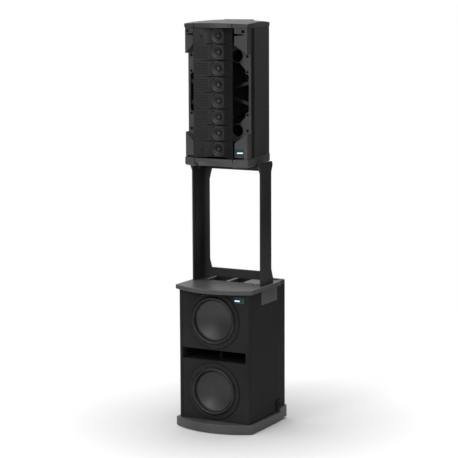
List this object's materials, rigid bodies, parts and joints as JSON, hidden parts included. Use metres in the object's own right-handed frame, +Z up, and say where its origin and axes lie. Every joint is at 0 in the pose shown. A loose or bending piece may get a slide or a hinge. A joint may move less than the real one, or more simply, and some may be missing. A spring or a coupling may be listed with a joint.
{
  "type": "column pa system",
  "caption": "Stacked PA system: a bass cabinet with a slot port, a plug-in open-frame stand, and a top cabinet with a bending column of small drivers.",
  "frame": {"origin": "middle of the footprint, on the floor", "axes": "+Z up, -Y to the front where the drivers face, +X to the right seen from the front"},
  "size_m": [0.41, 0.4439, 1.936],
  "materials": {
    "amp_aluminium": "black anodised",
    "array_plastic": "moulded, fine horizontal ribs",
    "black_screw": "black oxide",
    "cabinet_plastic": "moulded, fine grain",
    "cast_frame": "black powder coat",
    "control_plastic": "moulded",
    "light_plate": "translucent light bar on a dark plate",
    "painted_board": "black textured paint on plywood",
    "paper_cone": "coated paper",
    "rubber": "smooth black rubber",
    "socket_plastic": "moulded",
    "stand_frame": "black powder coat",
    "textured_plastic": "moulded, fine leather grain"
  },
  "bodies": {
    "bass_cabinet": {"sub_amp_plate": "amp_aluminium", "sub_amp_screws": "black_screw", "sub_back_board": "painted_board", "sub_end_boards": "painted_board", "sub_feet": "rubber", "sub_left_side": "painted_board", "sub_lower_baffle": "painted_board", "sub_lower_woofer_frame": "cast_frame", "sub_lower_woofer_surround": "rubber", "sub_plinth": "textured_plastic", "sub_port_boards": "painted_board", "sub_rear_cover": "cabinet_plastic", "sub_rear_housing": "cabinet_plastic", "sub_right_side": "painted_board", "sub_sockets": "socket_plastic", "sub_status_light": "light_plate", "sub_stow_latches": "textured_plastic", "sub_top_cap": "textured_plastic", "sub_upper_baffle": "painted_board", "sub_upper_woofer_frame": "cast_frame", "sub_upper_woofer_surround": "rubber", "sub_woofer_screws": "black_screw"},
    "stand": {"stand_bottom_bar": "stand_frame", "stand_left_post": "stand_frame", "stand_right_post": "stand_frame", "stand_screws": "black_screw", "stand_shelves": "stand_frame", "stand_top_bar": "stand_frame"},
    "top_cabinet": {"array_bracket": "amp_aluminium", "array_module_4": "array_plastic", "array_module_5": "array_plastic", "head_amp_tray": "amp_aluminium", "head_baffle": "cabinet_plastic", "head_bottom_cap": "textured_plastic", "head_lower_trim": "textured_plastic", "head_pole_cup": "cabinet_plastic", "head_port_tubes": "cabinet_plastic", "head_shell": "cabinet_plastic", "head_sockets": "socket_plastic", "head_status_light": "light_plate", "head_top_cap": "textured_plastic", "head_top_handle": "cabinet_plastic", "head_upper_trim": "textured_plastic", "head_woofer_board": "painted_board", "head_woofer_frame": "cast_frame", "head_woofer_surround": "rubber"},
    "array_1": {"array_module_1": "array_plastic"},
    "array_2": {"array_module_2": "array_plastic"},
    "array_3": {"array_module_3": "array_plastic"},
    "array_6": {"array_module_6": "array_plastic"},
    "array_7": {"array_module_7": "array_plastic"},
    "array_8": {"array_module_8": "array_plastic"},
    "head_knob_1": {"head_level_knob_1": "control_plastic"},
    "head_knob_2": {"head_level_knob_2": "control_plastic"},
    "head_switch": {"head_power_switch": "control_plastic"},
    "head_cone": {"head_woofer_cone": "paper_cone"},
    "sub_knob": {"sub_level_knob": "control_plastic"},
    "sub_lower_cone": {"sub_lower_woofer_cone": "paper_cone"},
    "sub_switch": {"sub_power_switch": "control_plastic"},
    "sub_upper_cone": {"sub_upper_woofer_cone": "paper_cone"}
  },
  "joints": [
    {"name": "stand_lift", "type": "slide", "parent": "bass_cabinet", "child": "stand", "axis": [0, 0, 1], "range_m": [0, 0.074]},
    {"name": "top_cabinet_lift", "type": "slide", "parent": "stand", "child": "top_cabinet", "axis": [0, 0, 1], "range_m": [0, 0.02]},
    {"name": "sub_lower_cone_travel", "type": "slide", "parent": "bass_cabinet", "child": "sub_lower_cone", "axis": [0, 1, 0], "range_m": [-0.008, 0.008], "stiffness_N_per_m": 1500},
    {"name": "sub_upper_cone_travel", "type": "slide", "parent": "bass_cabinet", "child": "sub_upper_cone", "axis": [0, 1, 0], "range_m": [-0.008, 0.008], "stiffness_N_per_m": 1500},
    {"name": "head_cone_travel", "type": "slide", "parent": "top_cabinet", "child": "head_cone", "axis": [0, 1, 0], "range_m": [-0.006, 0.006], "stiffness_N_per_m": 1500},
    {"name": "array_bend_6", "type": "hinge", "parent": "top_cabinet", "child": "array_6", "pos_m": [0, -0.128, 1.6754], "axis": [-1, 0, 0], "range_deg": [0, 6]},
    {"name": "array_bend_7", "type": "hinge", "parent": "array_6", "child": "array_7", "pos_m": [0, -0.128, 1.7508], "axis": [-1, 0, 0], "range_deg": [0, 6]},
    {"name": "array_bend_8", "type": "hinge", "parent": "array_7", "child": "array_8", "pos_m": [0, -0.128, 1.8262], "axis": [-1, 0, 0], "range_deg": [0, 6]},
    {"name": "array_bend_3", "type": "hinge", "parent": "top_cabinet", "child": "array_3", "pos_m": [0, -0.128, 1.5246], "axis": [1, 0, 0], "range_deg": [0, 6]},
    {"name": "array_bend_2", "type": "hinge", "parent": "array_3", "child": "array_2", "pos_m": [0, -0.128, 1.4492], "axis": [1, 0, 0], "range_deg": [0, 6]},
    {"name": "array_bend_1", "type": "hinge", "parent": "array_2", "child": "array_1", "pos_m": [0, -0.128, 1.3738], "axis": [1, 0, 0], "range_deg": [0, 6]},
    {"name": "sub_level_turn", "type": "hinge", "parent": "bass_cabinet", "child": "sub_knob", "pos_m": [-0.06, 0.129, 0.39], "axis": [0, -1, 0], "range_deg": [-150, 150]},
    {"name": "sub_power_rock", "type": "hinge", "parent": "bass_cabinet", "child": "sub_switch", "pos_m": [0.068, 0.125, 0.292], "axis": [1, 0, 0], "range_deg": [0, 14]},
    {"name": "head_level_turn_1", "type": "hinge", "parent": "top_cabinet", "child": "head_knob_1", "pos_m": [-0.045, 0.179, 1.49], "axis": [0, -1, 0], "range_deg": [-150, 150]},
    {"name": "head_level_turn_2", "type": "hinge", "parent": "top_cabinet", "child": "head_knob_2", "pos_m": [0, 0.179, 1.49], "axis": [0, -1, 0], "range_deg": [-150, 150]},
    {"name": "head_power_rock", "type": "hinge", "parent": "top_cabinet", "child": "head_switch", "pos_m": [0.052, 0.175, 1.375], "axis": [1, 0, 0], "range_deg": [0, 14]}
  ],
  "couplings": [
    {"joint": "array_bend_7", "follows": "array_bend_6", "ratio": 1},
    {"joint": "array_bend_8", "follows": "array_bend_6", "ratio": 1},
    {"joint": "array_bend_2", "follows": "array_bend_3", "ratio": 1},
    {"joint": "array_bend_1", "follows": "array_bend_3", "ratio": 1}
  ]
}
